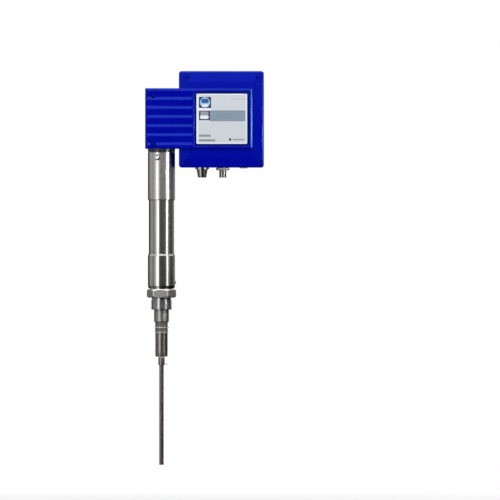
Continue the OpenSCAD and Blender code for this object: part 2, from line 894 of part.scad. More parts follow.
// Rear casting: shell, cavity, screw columns, board posts and the boss for the spigot
module housing_base() {
    color([0, 0, 0.62])
        difference() {
            union() {
                difference() {
                    union() {
                        ring_block(box_rect, corner_r, rounded_rings(part_y, back_y));
                        ring_block(lobe_rect, block_corner_r, rounded_rings(part_y, back_y));
                    }
                    slab(part_y - 1, floor_y) head_outline(wall);
                }
                for (spot = screw_spots)
                    screw_column(spot, boss_d, part_y, spot[4]);
                for (spot = board_spots)
                    facing_front(spot, boss_end) cylinder(d = standoff_d, h = standoff_h + boss_root);
                facing_front(earth_spot, boss_end) cylinder(d = boss_d, h = earth_boss_h + boss_root);
                translate([0, 0, lobe_z0]) cylinder(d = spigot_boss_d, h = spigot_floor_h);
            }
            slab(part_y - 1, part_y + gasket_h)
                difference() {
                    head_outline(gasket_in);
                    head_outline(gasket_in + gasket_w);
                }
            for (spot = screw_spots)
                facing_front(spot, part_y + screw_reach + hole_spare)
                    cylinder(d = screw_d + 2 * slip, h = screw_reach + 1);
            for (spot = board_spots)
                facing_front(spot, board_y + board_screw_reach + hole_spare)
                    cylinder(d = board_screw_d + 2 * slip, h = board_screw_reach + 1);
            facing_front(earth_spot, earth_y + board_screw_reach + hole_spare)
                cylinder(d = screw_d + 2 * slip, h = board_screw_reach + 1);
            translate([0, 0, lobe_z0 - 1])
                cylinder(d = spigot_neck_d + 2 * slip, h = spigot_floor_h + 2);
            for (x = [socket_x, plug_x])
                translate([x, connector_y, box_z0 - 1])
                    cylinder(d = panel_thread_d + 2 * slip, h = wall + 2);
            translate([vent_x, connector_y, box_z0 - 1])
                cylinder(d = vent_thread_d + 2 * slip, h = wall + 2);
        }
}

// What is cut away below one crest, down to the next crest
module rib_groove(z_top) {
    foot_y = front_y + rib_depth;
    foot_z = z_top - rib_face_h;
    end_z = foot_z - rib_slope_h;
    points = [
        [front_y - 1, z_top], [front_y, z_top], [foot_y, foot_z],
        [foot_y - rib_edge[0], foot_z - rib_edge[1]],
        [front_y + rib_edge[0], end_z + rib_edge[1]], [front_y, end_z], [front_y - 1, end_z]
    ];
    translate([rib_x0, 0, 0])
        rotate([90, 0, 90])
            linear_extrude(rib_x1 - rib_x0)
                polygon(points);
}

// Front casting: crowned box face, raised block with the ribs, and the label's recess
module housing_cover() {
    color([0, 0, 0.62])
        difference() {
            union() {
                difference() {
                    union() {
                        ring_block(
                            box_rect, corner_r,
                            concat(rounded_rings(part_y, edge_y), [[face_y, face_inset]]));
                        ring_block(block_rect, block_corner_r, bevelled_rings(part_y, front_y));
                    }
                    slab(box_cavity_y, part_y + 1) head_outline(wall);
                    slab(block_cavity_y, part_y + 1) polygon(inset_points(block_rect, wall, block_corner_r));
                    slab(label_cavity_y, part_y + 1)
                        translate([label_x0, lobe_z0 + wall])
                            square([block_x1 - wall - label_x0, lobe_h - 2 * wall]);
                }
                for (spot = screw_spots)
                    screw_column(spot, screw_sink_d + 2 * sink_wall, spot[5], part_y);
            }
            for (k = [0:rib_count - 1])
                rib_groove(lobe_z1 - rib_top_drop - k * rib_pitch);
            ring_block(recess_rect, least_corner_r, [
                [label_y, 0], [front_y + recess_rim[1], 0],
                [front_y, -recess_rim[0]], [front_y - 1, -recess_rim[0]]
            ]);
            for (spot = screw_spots) {
                facing_front(spot, part_y + 1) cylinder(d = screw_hole_d, h = front_depth);
                facing_front(spot, screw_seat_y) cylinder(d = screw_sink_d, h = front_depth);
            }
        }
}

module cover_gasket() {
    color("black")
        slab(part_y, part_y + gasket_h)
            difference() {
                head_outline(gasket_in + slip);
                head_outline(gasket_in + gasket_w - slip);
            }
}

// Pan-head screw along -Y with a cross recess, head at the given depth
module pan_screw(spot, seat_y, d, reach, head_d, head_h) {
    facing_front(spot, seat_y)
        difference() {
            union() {
                translate([0, 0, -reach]) cylinder(d = d, h = reach);
                rotate_extrude()
                    polygon([
                        [0, 0], [head_d / 2, 0], [head_d / 2, head_h / 2],
                        [head_d / 2 - 0.35, head_h * 0.8], [head_d / 2 - 1.1, head_h], [0, head_h]
                    ]);
            }
            for (a = [0, 90])
                rotate([0, 0, a])
                    translate([-head_d / 4, -head_d / 14, head_h - 1.4])
                        cube([head_d / 2, head_d / 7, 2]);
        }
}

module cover_screws() {
    color("silver")
        for (spot = screw_spots)
            pan_screw(spot, screw_seat_y, screw_d, part_y - screw_seat_y + screw_reach,
                screw_head_d, screw_head_h);
}

module label_plate() {
    color("lightgray")
        slab(label_y - label_t, label_y)
            polygon(round_rect(
                label_x0, label_z0, label_x0 + label_w, label_z0 + label_h, label_corner_r, 4));
}

// Turned stub below the lobe, with a groove for the locking screw and two for the rings
module swivel_spigot() {
    r = spigot_d / 2;
    foot = upper_z1 - spigot_len;
    color("silver")
        difference() {
            rotate_extrude()
                polygon([
                    [spigot_bore_d / 2, foot], [r - 1, foot], [r, foot + 1], [r, lobe_z0],
                    [spigot_neck_d / 2, lobe_z0], [spigot_neck_d / 2, spigot_top - 0.6],
                    [spigot_neck_d / 2 - 0.6, spigot_top], [spigot_bore_d / 2, spigot_top]
                ]);
            tube(spigot_d + 2, screw_groove_d, lock_z - screw_groove_h / 2, lock_z + screw_groove_h / 2);
            for (drop = o_ring_drop)
                translate([0, 0, upper_z1 - drop - o_ring_groove_h / 2])
                    tube(spigot_d + 2, spigot_d - 2 * o_ring_t, 0, o_ring_groove_h);
        }
}

module spigot_nut() {
    color("silver")
        translate([0, 0, lobe_z0 + spigot_floor_h])
            hex_nut(spigot_nut_af, spigot_nut_h, spigot_neck_d + 2 * slip);
}

module spigot_o_rings() {
    color("black")
        for (drop = o_ring_drop)
            translate([0, 0, upper_z1 - drop])
                rotate_extrude()
                    translate([(spigot_d - o_ring_t) / 2, 0])
                        circle(d = o_ring_t - 2 * seat_gap);
}

module swivel_seal() {
    color("black")
        tube(sleeve_d, swivel_bore_d, upper_z1 + swivel_gap, lobe_z0);
}

// Plug-in socket that turns on the guard's neck and the core's tip
module cable_socket() {
    neck_r = guard_neck_d / 2 + slip;
    tip_r = core_tip_d / 2 + slip;
    skirt_z = guard_top_z - cable_socket_skirt;
    ceiling = core_shoulder_z + 0.6;
    tip_top = core_shoulder_z + core_tip_len + 0.5;
    color("dimgray")
        rotate_extrude()
            polygon([
                [neck_r, skirt_z], [cable_socket_d / 2, skirt_z],
                [cable_socket_d / 2, cable_socket_top - 2], [cable_d / 2 + 1.5, cable_socket_top],
                [0, cable_socket_top], [0, tip_top], [tip_r, tip_top], [tip_r, ceiling],
                [neck_r, ceiling]
            ]);
}

// Quarter bend in the XZ plane, from the stem axis towards +X
module quarter_bend(bend_r, d) {
    rotate([0, 0, 90])
        rotate_extrude(angle = 90)
            translate([bend_r, 0])
                circle(d = d);
}

module sensor_cable() {
    color("white")
        union() {
            translate([0, 0, cable_socket_top])
                cylinder(d = cable_d, h = cable_bend_z - cable_socket_top);
            translate([cable_bend_r, 0, cable_bend_z])
                rotate([90, 0, 0])
                    quarter_bend(cable_bend_r, cable_d);
            translate([cable_bend_r, 0, cable_bend_z + cable_bend_r])
                rotate([0, 90, 0])
                    cylinder(d = cable_d, h = terminal_x0 - cable_bend_r);
        }
}

// Lead from each connector's tail to the board
module connector_leads() {
    start = box_z0 + connector_tail;
    color("dimgray")
        for (x = [socket_x, plug_x])
            union() {
                translate([x, connector_y, start])
                    cylinder(d = lead_d, h = lead_rise);
                translate([x, connector_y + lead_bend_r, start + lead_rise])
                    rotate([90, 0, 90])
                        quarter_bend(lead_bend_r, lead_d);
                translate([x, connector_y + lead_bend_r, start + lead_rise + lead_bend_r])
                    rotate([-90, 0, 0])
                        cylinder(d = lead_d, h = board_front_y - connector_y - lead_bend_r);
            }
}

module circuit_board() {
    color("darkgreen")
        difference() {
            slab(board_front_y, board_y)
                translate([board_x0, board_z0])
                    square([board_x1 - board_x0, board_z1 - board_z0]);
            for (spot = board_spots)
                facing_front(spot, board_y + 1)
                    cylinder(d = board_screw_d + board_screw_clear, h = board_t + 2);
        }
}

module board_screws() {
    color("silver")
        for (spot = board_spots)
            pan_screw(spot, board_front_y, board_screw_d, board_t + board_screw_reach,
                board_screw_head_d, board_screw_head_h);
}

// Box-shaped component on the board, given by its centre and size in front view and its height
module on_board(spot, size, h) {
    slab(board_front_y - h, board_front_y)
        translate([spot[0] - size[0] / 2, spot[1] - size[1] / 2])
            square(size);
}

module processor_chip() {
    color("black")
        difference() {
            on_board(chip_spot, [chip_w, chip_w], chip_h);
            facing_front(
                chip_spot + (chip_w / 2 - chip_dot_inset) * [-1, 1],
                board_front_y - chip_h + chip_dot_depth)
                cylinder(d = chip_dot_d, h = 1);
        }
}

module power_module() {
    color("darkslategray")
        on_board(power_spot, power_size, power_h);
}

module capacitors() {
    color("midnightblue")
        for (i = [0:2])
            facing_front(capacitor_spot + [i * capacitor_pitch, 0], board_front_y)
                cylinder(d = capacitor_d, h = capacitor_h);
}

module status_leds() {
    color("limegreen")
        for (i = [0:1])
            facing_front(led_spot - [0, i * led_pitch], board_front_y)
                union() {
                    cylinder(d = led_d + 2 * led_rim, h = led_rim_h);
                    cylinder(d = led_d, h = led_h);
                    translate([0, 0, led_h]) sphere(d = led_d);
                }
}

module terminal_block() {
    way = terminal_h / terminal_ways;
    color("yellowgreen")
        difference() {
            on_board([terminal_x0 + terminal_w / 2, terminal_z0 + terminal_h / 2],
                [terminal_w, terminal_h], terminal_depth);
            for (i = [0:terminal_ways - 1])
                facing_front(
                    [terminal_x0 + terminal_w / 2, terminal_z0 + (i + 0.5) * way],
                    board_front_y - terminal_depth + terminal_hole_depth)
                    cylinder(d = terminal_hole_d, h = terminal_hole_depth + 1);
        }
}

// Panel socket whose shell narrows downwards around an inner thread
module socket_shell() {
    flange_z = box_z0 - socket_flange_h;
    color("silver")
        rotate_about(socket_x)
            polygon([
                [socket_bore_d / 2, connector_z0], [socket_end_d / 2 - 0.4, connector_z0],
                [socket_end_d / 2, connector_z0 + 0.4], [socket_top_d / 2, flange_z],
                [socket_flange_d / 2 - 0.5, flange_z], [socket_flange_d / 2, flange_z + 0.5],
                [socket_flange_d / 2, box_z0], [panel_thread_d / 2, box_z0],
                [panel_thread_d / 2, tail_z], [insert_d / 2 + slip, tail_z],
                [insert_d / 2 + slip, mate_z], [socket_bore_d / 2, mate_z]
            ]);
}

// Profile turned about a connector's axis
module rotate_about(x) {
    translate([x, connector_y, 0])
        rotate_extrude()
            children();
}

module socket_insert() {
    color("dimgray")
        difference() {
            rotate_about(socket_x)
                polygon([
                    [0, connector_z0 + carrier_inset], [carrier_d / 2, connector_z0 + carrier_inset],
                    [carrier_d / 2, mate_z], [insert_d / 2, mate_z],
                    [insert_d / 2, tail_z], [0, tail_z]
                ]);
            at_contacts(socket_x, connector_z0)
                cylinder(d = contact_d + 2 * contact_wall + 2 * slip, h = mate_depth);
        }
}

// Child at the centre and on the contact circle of a connector
module at_contacts(x, z) {
    for (spot = contact_spots)
        translate([x + spot[0], connector_y + spot[1], z])
            children();
}

module socket_contacts() {
    color("gold")
        at_contacts(socket_x, connector_z0 + contact_inset)
            difference() {
                cylinder(d = contact_d + 2 * contact_wall, h = mate_depth - contact_inset);
                translate([0, 0, -1]) cylinder(d = contact_d, h = contact_depth + 1, $fn = 24);
            }
}

module plug_shell() {
    r = plug_thread_d / 2;
    flange_z = box_z0 - plug_flange_h;
    color("silver")
        union() {
            rotate_about(plug_x)
                polygon([
                    [plug_bore_d / 2, connector_z0], [r - 0.5, connector_z0],
                    [r, connector_z0 + 0.5], [r, flange_z],
                    [panel_thread_d / 2, flange_z], [panel_thread_d / 2, tail_z],
                    [insert_d / 2 + slip, tail_z], [insert_d / 2 + slip, flange_z + insert_step],
                    [plug_bore_d / 2, flange_z + insert_step]
                ]);
            translate([plug_x, connector_y, flange_z])
                difference() {
                    chamfered_hex(plug_flange_af, plug_flange_h, 0.7);
                    translate([0, 0, -1]) cylinder(d = panel_thread_d - 1, h = plug_flange_h + 2);
                }
        }
}

module plug_insert() {
    step_z = box_z0 - plug_flange_h + insert_step;
    color("dimgray")
        difference() {
            rotate_about(plug_x)
                polygon([
                    [0, mate_z], [plug_bore_d / 2 - slip, mate_z], [plug_bore_d / 2 - slip, step_z],
                    [insert_d / 2, step_z], [insert_d / 2, tail_z], [0, tail_z]
                ]);
            at_contacts(plug_x, mate_z - 1)
                cylinder(d = contact_d + 2 * seat_gap, h = contact_root + 1);
        }
}

module plug_pins() {
    pin_len = mate_depth + contact_root - pin_inset;
    color("gold")
        at_contacts(plug_x, connector_z0 + pin_inset)
            rotate_extrude()
                polygon([
                    [0, 0], [contact_d / 4, 0], [contact_d / 2, pin_point_h],
                    [contact_d / 2, pin_len], [0, pin_len]
                ]);
}

module connector_nuts() {
    color("silver")
        for (x = [socket_x, plug_x])
            translate([x, connector_y, box_z0 + wall + seal_ring_t])
                hex_nut(panel_nut_af, panel_nut_h, panel_thread_d + 2 * slip);
}

module connector_seals() {
    color("black")
        for (x = [socket_x, plug_x])
            translate([x, connector_y, 0])
                tube(panel_thread_d + 2 * seal_ring_w, panel_thread_d + 2 * slip, box_z0 + wall,
                    box_z0 + wall + seal_ring_t);
}

// Low round plug with a slot, screwed into the floor of the box
module vent_plug() {
    r = vent_d / 2;
    bottom = box_z0 - vent_proud;
    top = box_z0 + wall + vent_thread_spare;
    color("gray")
        difference() {
            rotate_about(vent_x)
                polygon([
                    [0, bottom], [r - 0.6, bottom], [r, bottom + 0.6], [r, box_z0],
                    [vent_thread_d / 2, box_z0], [vent_thread_d / 2, top], [0, top]
                ]);
            translate([vent_x - vent_d, connector_y - vent_slot_w / 2, bottom - 1])
                cube([2 * vent_d, vent_slot_w, vent_slot_depth + 1]);
        }
}

module earth_screw() {
    color("goldenrod")
        pan_screw(earth_spot, earth_y, screw_d, board_screw_reach, screw_head_d, screw_head_h);
}

process_body();
lower_sleeve();
stem_tube();
upper_sleeve();
locking_screw();
drain_screw();
electrode_core();
inner_insulator();
guard_electrode();
insulating_bush();
retaining_rings();
gland_insulator();
disc_springs();
gland_washer();
gland_nut();
core_nut();
tip_washer();
rod_coupling();
locking_pin();
measuring_rod();
cable_spacer();
housing_base();
housing_cover();
cover_gasket();
cover_screws();
label_plate();
swivel_spigot();
spigot_nut();
spigot_o_rings();
swivel_seal();
cable_socket();
sensor_cable();
connector_leads();
circuit_board();
board_screws();
processor_chip();
power_module();
capacitors();
status_leds();
terminal_block();
socket_shell();
socket_insert();
socket_contacts();
plug_shell();
plug_insert();
plug_pins();
connector_nuts();
connector_seals();
vent_plug();
earth_screw();
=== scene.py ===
import json
import math

import bmesh
import bpy
from mathutils import Matrix, Vector


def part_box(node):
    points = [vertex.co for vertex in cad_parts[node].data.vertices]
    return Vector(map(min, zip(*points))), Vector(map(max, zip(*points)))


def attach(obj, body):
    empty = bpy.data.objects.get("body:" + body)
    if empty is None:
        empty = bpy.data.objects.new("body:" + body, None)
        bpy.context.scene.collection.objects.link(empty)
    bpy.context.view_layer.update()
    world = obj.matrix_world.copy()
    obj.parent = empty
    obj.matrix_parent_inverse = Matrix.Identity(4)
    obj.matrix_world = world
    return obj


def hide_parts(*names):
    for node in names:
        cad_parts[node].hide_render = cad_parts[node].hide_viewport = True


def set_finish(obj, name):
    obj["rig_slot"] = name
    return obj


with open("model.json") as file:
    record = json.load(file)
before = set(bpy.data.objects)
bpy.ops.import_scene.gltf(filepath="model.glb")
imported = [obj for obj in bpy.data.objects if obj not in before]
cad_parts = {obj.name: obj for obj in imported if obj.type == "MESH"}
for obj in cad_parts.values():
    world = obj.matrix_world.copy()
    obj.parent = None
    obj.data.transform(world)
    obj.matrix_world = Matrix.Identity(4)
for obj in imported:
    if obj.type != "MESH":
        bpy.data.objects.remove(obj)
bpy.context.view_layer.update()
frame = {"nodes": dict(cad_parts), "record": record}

MM = 0.001
# Room for rounding, where a place is compared with a limit
SLACK = 0.01 * MM
NODES = frame["nodes"]
SLOTS = {part["node"]: part["material_slot"] for part in frame["record"]["subparts"]}


# Camera

# The picture's frame: its width at the stem's depth, and the point in its middle
PICTURE_WIDTH = 810 * MM
PICTURE_CENTRE = Vector((143.4 * MM, 0, 80.5 * MM))
CAMERA_DISTANCE = 30.0
SENSOR_WIDTH = 36
NEAREST_SEEN = 0.1
FARTHEST_SEEN = 200


def add_camera():
    data = bpy.data.cameras.new("camera")
    data.sensor_width = SENSOR_WIDTH
    data.lens = SENSOR_WIDTH * CAMERA_DISTANCE / PICTURE_WIDTH
    data.clip_start = NEAREST_SEEN
    data.clip_end = FARTHEST_SEEN
    camera = bpy.data.objects.new("camera", data)
    camera.location = PICTURE_CENTRE - Vector((0, CAMERA_DISTANCE, 0))
    camera.rotation_euler = (math.radians(90), 0, 0)
    bpy.context.scene.collection.objects.link(camera)
    bpy.context.scene.camera = camera


# Node graphs

class Graph:
    """Short names for building a shader's nodes. An input is a number, a tuple or another node's socket."""

    def __init__(self, tree):
        self.tree = tree

    def node(self, kind, inputs=(), **settings):
        made = self.tree.nodes.new(kind)
        for name, value in settings.items():
            setattr(made, name, value)
        for key, value in dict(inputs).items():
            self.put(made.inputs[key], value)
        return made

    def put(self, socket, value):
        if isinstance(value, bpy.types.NodeSocket):
            self.tree.links.new(value, socket)
        else:
            socket.default_value = value

    def math(self, operation, a, b=0.0):
        return self.node("ShaderNodeMath", {0: a, 1: b}, operation=operation).outputs[0]

    def vector(self, operation, a, b=(0, 0, 0), output=0):
        return self.node("ShaderNodeVectorMath", {0: a, 1: b}, operation=operation).outputs[output]

    def scaled(self, vector, scale):
        return self.vector("MULTIPLY", vector, scale)

    def noise(self, vector, scale, detail=2.0, roughness=0.5):
        inputs = {"Vector": vector, "Scale": scale, "Detail": detail, "Roughness": roughness}
        return self.node("ShaderNodeTexNoise", inputs).outputs["Fac"]

    def span(self, value, low, high, to_low, to_high):
        inputs = {"Value": value, "From Min": low, "From Max": high, "To Min": to_low, "To Max": to_high}
        return self.node("ShaderNodeMapRange", inputs).outputs["Result"]

    def mix(self, factor, a, b):
        made = self.node("ShaderNodeMix", data_type="RGBA")
        for socket, value in zip((made.inputs[0], made.inputs[6], made.inputs[7]), (factor, a, b)):
            self.put(socket, value)
        return made.outputs[2]

    def bump(self, height, distance, normal=None):
        made = self.node("ShaderNodeBump", {"Height": height, "Distance": distance, "Strength": 1.0})
        if normal is not None:
            self.put(made.inputs["Normal"], normal)
        return made.outputs["Normal"]

    def in_rectangle(self, place, x0, z0, x1, z1, corner):
        """1 where the place's x and z are inside a rectangle with rounded corners."""
        middle = ((x0 + x1) / 2, 0, (z0 + z1) / 2)
        reach = ((x1 - x0) / 2 - corner, 0, (z1 - z0) / 2 - corner)
        offset = self.vector("ABSOLUTE", self.scaled(self.vector("SUBTRACT", place, middle), (1, 0, 1)))
        beyond = self.vector("MAXIMUM", self.vector("SUBTRACT", offset, reach))
        return self.math("LESS_THAN", self.vector("LENGTH", beyond, output=1), corner + SLACK)

    def place(self):
        return self.node("ShaderNodeTexCoord").outputs["Object"]

    def part_of(self, place, axis):
        return self.node("ShaderNodeSeparateXYZ", {0: place}).outputs[axis]


def rgb(red, green, blue):
    """A colour given in display values from 0 to 255, as the linear colour that a shader takes."""
    def linear(value):
        value = value / 255
        return value / 12.92 if value <= 0.04045 else ((value + 0.055) / 1.055) ** 2.4
    return (linear(red), linear(green), linear(blue), 1)


def shaded(colour, factor):
    return tuple(value * factor for value in colour[:3]) + (1,)


def material(name, colour, metallic=0.0, roughness=0.5, ior=1.5, **sockets):
    """A principled material. Returns it with its graph and its shader."""
    made = bpy.data.materials.new(name)
    made.use_nodes = True
    graph = Graph(made.node_tree)
    shader = made.node_tree.nodes["Principled BSDF"]
    values = {"Base Color": colour, "Metallic": metallic, "Roughness": roughness, "IOR": ior, **sockets}
    for key, value in values.items():
        graph.put(shader.inputs[key], value)
    return made, graph, shader


# Metals

# Tool marks on turned metal: the distance from one to the next along the axis, and their depth
MARK_PITCH = 0.3 * MM
MARK_DEPTH = 0.004 * MM
MARK_SCALE = (30, 30, 1 / MARK_PITCH)
TURNED_STAIN_SCALE = (60, 60, 25)
TURNED_STAIN_SHADE = 0.86
GRAIN = 0.5 * MM
GRAIN_DEPTH = 0.003 * MM
PLAIN_STAIN_SCALE = 180.0
PLAIN_STAIN_SHADE = 0.8


def turned_metal(name, colour, roughness, dull_bands_and_painted_light=(), streak=0.5):
    """Metal with fine tool marks round the stem's axis and faint stains. Each band is a stretch of heights,
    its rougher finish and a factor on its colour, which lightens or darkens it; the hexagon's lightening is
    painted light."""
    made, graph, shader = material(
        name, colour, metallic=1.0, roughness=roughness, Anisotropic=streak,
        **{"Anisotropic Rotation": 0.25})
    place = graph.place()
    marks = graph.noise(graph.scaled(place, MARK_SCALE), 1.0, 3.0, 0.6)
    stains = graph.noise(graph.scaled(place, TURNED_STAIN_SCALE), 1.0, 4.0, 0.6)
    stained = graph.span(stains, 0.35, 0.7, 0, 1)
    tone = graph.mix(stained, colour, shaded(colour, TURNED_STAIN_SHADE))
    uneven = graph.math("ADD", graph.math("MULTIPLY", marks, 0.6), graph.math("MULTIPLY", stains, 0.4))
    finish = graph.span(uneven, 0.3, 0.7, roughness * 0.8, roughness * 1.25)
    height = graph.part_of(place, "Z")
    for low, high, dull, shade in dull_bands_and_painted_light:
        inside = graph.math("COMPARE", height, (low + high) / 2)
        inside.node.inputs[2].default_value = (high - low) / 2
        dull_finish = graph.span(uneven, 0.3, 0.7, dull * 0.85, dull * 1.15)
        finish = graph.math("MAXIMUM", finish, graph.math("MULTIPLY", inside, dull_finish))
        # The band's colour factor: where it lightens the steel it is painted light
        tone = graph.mix(inside, tone, graph.scaled(tone, (shade,) * 3))
    graph.put(shader.inputs["Base Color"], tone)
    graph.put(shader.inputs["Roughness"], finish)
    graph.put(shader.inputs["Normal"], graph.bump(marks, MARK_DEPTH))
    tangent = graph.node("ShaderNodeTangent", direction_type="RADIAL", axis="Z").outputs[0]
    graph.put(shader.inputs["Tangent"], tangent)
    return made


def plain_metal(name, colour, roughness, metallic=1.0):
    """Metal with an even fine grain, for small fasteners and plated parts."""
    made, graph, shader = material(name, colour, metallic=metallic, roughness=roughness)
    place = graph.place()
    grains = graph.noise(graph.scaled(place, (1 / GRAIN,) * 3), 1.0, 3.0)
    stains = graph.noise(place, PLAIN_STAIN_SCALE, 3.0)
    stained = graph.span(stains, 0.4, 0.7, 0, 1)
    tone = graph.mix(stained, colour, shaded(colour, PLAIN_STAIN_SHADE))
    graph.put(shader.inputs["Base Color"], tone)
    graph.put(shader.inputs["Roughness"], graph.span(stains, 0.3, 0.7, roughness * 0.85, roughness * 1.3))
    graph.put(shader.inputs["Normal"], graph.bump(grains, GRAIN_DEPTH))
    return made


# Paint, plastics and rubber

PAINT = (0.0003, 0.0011, 0.385, 1)
PAINT_LIGHTER = (0.0003, 0.0015, 0.41, 1)
PAINT_SPECULAR = {"Specular Tint": (0.28, 0.75, 1, 1)}
PEEL_DEPTH = 0.004 * MM
SWELL_DEPTH = 0.02 * MM
# Painted shade in the recess round the label: how far it reaches past the plate, and how dark it makes the
# blue
SHADE_REACH = 2.2 * MM
RECESS_SHADE_FACTOR = 0.3
MOULDED_GRAIN = 0.4 * MM
MOULDED_SHADE = 0.85


def label_recess_painted_shade(graph, place):
    """1 in the recess round the label, on the front alone, where the paint is darkened as painted shade."""
    low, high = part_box("label_plate")
    side = SHADE_REACH
    shaded_recess = graph.in_rectangle(place, low.x - side, low.z - side, high.x + side, high.z + side, side)
    in_front = graph.math("LESS_THAN", graph.part_of(place, "Y"), high.y + side)
    return graph.math("MULTIPLY", shaded_recess, in_front)


def blue_paint():
    """Gloss paint over a die casting, with a fine orange peel on a broader unevenness, and painted shade in
    the recess round the label.
    """
    made, graph, shader = material("blue_paint", PAINT, roughness=0.15, ior=1.33, **PAINT_SPECULAR)
    place = graph.place()
    peel = graph.noise(place, 900.0, 2.0)
    swell = graph.noise(place, 60.0, 2.0)
    tone = graph.noise(place, 22.0, 3.0)
    coat = graph.mix(graph.span(tone, 0.3, 0.7, 0, 1), PAINT, PAINT_LIGHTER)
    # The recess round the label is darkened: painted shade
    shaded_recess = label_recess_painted_shade(graph, place)
    graph.put(shader.inputs["Base Color"], graph.mix(shaded_recess, coat, shaded(PAINT, RECESS_SHADE_FACTOR)))
    graph.put(shader.inputs["Roughness"], graph.span(tone, 0.3, 0.7, 0.13, 0.18))
    broad = graph.bump(swell, SWELL_DEPTH)
    graph.put(shader.inputs["Normal"], graph.bump(peel, PEEL_DEPTH, normal=broad))
    return made


def moulded(name, colour, roughness, grain_depth=0.02 * MM, ior=1.48, **sockets):
    """Moulded plastic or rubber with a fine grain."""
    made, graph, shader = material(name, colour, roughness=roughness, ior=ior, **sockets)
    place = graph.place()
    grains = graph.noise(graph.scaled(place, (1 / MOULDED_GRAIN,) * 3), 1.0, 2.0)
    tone = graph.noise(place, 120.0, 3.0)
    shade = graph.span(tone, 0.35, 0.7, 0, 1)
    graph.put(shader.inputs["Base Color"], graph.mix(shade, colour, shaded(colour, MOULDED_SHADE)))
    graph.put(shader.inputs["Roughness"], graph.span(tone, 0.3, 0.7, roughness * 0.9, roughness * 1.1))
    graph.put(shader.inputs["Normal"], graph.bump(grains, grain_depth))
    return made


# Label print

LABEL_GREY = rgb(211, 218, 223)
LABEL_WHITE = rgb(238, 241, 250)
LABEL_BAND = rgb(136, 153, 168)
LABEL_BAND_LINE = rgb(112, 130, 150)
LABEL_NAVY = rgb(8, 30, 72)
LABEL_SKY = rgb(158, 204, 236)
LABEL_BLUE = rgb(22, 84, 156)
LABEL_STONE = rgb(150, 156, 166)
LABEL_INK = rgb(146, 150, 156)
LABEL_PALE_INK = rgb(184, 190, 196)
LABEL_DARK = rgb(38, 42, 66)
# Dark blue round the label's edge: painted shade where the label meets its recess
LABEL_EDGE_PAINTED_SHADE = rgb(14, 18, 112)
LABEL_FIBRE = (0.5, 0.55, 0.62, 1)
# Fields of the print, the later ones on top: their edges x0, z0, x1 and z1 in millimetres from the plate's
# lower left corner, the radius of their corners, and their colour
LABEL_FIELDS = [
    ((0.6, 0.4, 82.5, 81.4), 1.0, LABEL_WHITE),
    ((4.0, 2.4, 80.2, 79.6), 0.6, LABEL_GREY),
    ((4.0, 54.6, 23.9, 58.4), 0.0, LABEL_WHITE),
    ((4.6, 58.4, 24.2, 76.3), 1.0, LABEL_NAVY),
    ((6.2, 59.3, 22.6, 75.7), 8.2, LABEL_SKY),
    ((8.2, 66.4, 20.6, 73.2), 3.3, LABEL_BLUE),
    ((8.8, 60.6, 20.0, 64.2), 1.8, LABEL_WHITE),
    ((22.0, 36.9, 79.5, 54.3), 0.0, LABEL_BAND),
    ((22.0, 53.3, 79.5, 54.3), 0.0, LABEL_BAND_LINE),
    ((34.0, 46.9, 58.0, 47.6), 0.0, LABEL_BAND_LINE),
    ((34.0, 43.2, 58.0, 43.9), 0.0, LABEL_BAND_LINE),
    ((4.6, 38.7, 22.2, 53.9), 1.0, LABEL_NAVY),
    ((7.0, 46.2, 20.0, 52.8), 1.0, LABEL_STONE),
    ((6.2, 40.6, 20.4, 46.4), 2.7, LABEL_WHITE),
    ((54.8, 72.7, 78.7, 73.7), 0.0, LABEL_PALE_INK),
    ((4.6, 11.8, 23.6, 15.4), 0.0, LABEL_INK),
    ((4.6, 4.2, 31.0, 7.8), 0.0, LABEL_INK),
    ((53.0, 5.4, 57.0, 9.4), 2.0, LABEL_DARK),
    ((59.3, 6.4, 77.0, 8.4), 0.0, LABEL_INK),
]


def label_print():
    """Matt foil, printed with plain fields of colour, inside a dark blue border that is painted shade at the
    label's edge.
    """
    made, graph, shader = material("label_print", LABEL_EDGE_PAINTED_SHADE, roughness=0.36, ior=1.46)
    low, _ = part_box("label_plate")
    from_corner = graph.vector("SUBTRACT", graph.place(), (low.x, low.y, low.z))
    colour = LABEL_EDGE_PAINTED_SHADE
    for edges, corner, ink in LABEL_FIELDS:
        inside = graph.in_rectangle(from_corner, *(edge * MM for edge in edges), corner * MM)
        colour = graph.mix(inside, colour, ink)
    fibre = graph.noise(graph.place(), 300.0, 3.0)
    tint = graph.mix(graph.span(fibre, 0.3, 0.7, 0, 0.03), colour, LABEL_FIBRE)
    graph.put(shader.inputs["Base Color"], tint)
    graph.put(shader.inputs["Roughness"], graph.span(fibre, 0.3, 0.7, 0.3, 0.42))
    graph.put(shader.inputs["Normal"], graph.bump(fibre, 0.01 * MM))
    return made


# Which material each node wears

STEEL = (0.60, 0.595, 0.58, 1)


def dress(made, *names):
    """Gives nodes a material and the record's slot."""
    for name in names:
        mesh = NODES[name].data
        mesh.materials.clear()
        mesh.materials.append(made)
        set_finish(NODES[name], SLOTS[name])


def dress_stem():
    # The nose's colour is darkened, and the hexagon's lightened as painted light
    dull_nose = (-40 * MM, -16.3 * MM, 0.42, 0.72)
    lit_dull_hexagon = (3.21 * MM, 17.1 * MM, 0.33, 1.62)
    dress(turned_metal("stem_steel", STEEL, 0.14), "lower_sleeve")
    dress(turned_metal("body_steel", STEEL, 0.16, dull_bands_and_painted_light=[dull_nose, lit_dull_hexagon]), "process_body")
    dress(turned_metal("tube_steel", STEEL, 0.17), "stem_tube", "swivel_spigot")
    dress(turned_metal("brushed_steel", (0.64, 0.635, 0.62, 1), 0.28), "upper_sleeve")
    dress(
        turned_metal("electrode_steel", (0.38, 0.35, 0.325, 1), 0.3, streak=0.0),
        "guard_electrode", "rod_coupling", "electrode_core")
    dress(turned_metal("rod_steel", (0.27, 0.25, 0.235, 1), 0.3), "measuring_rod")


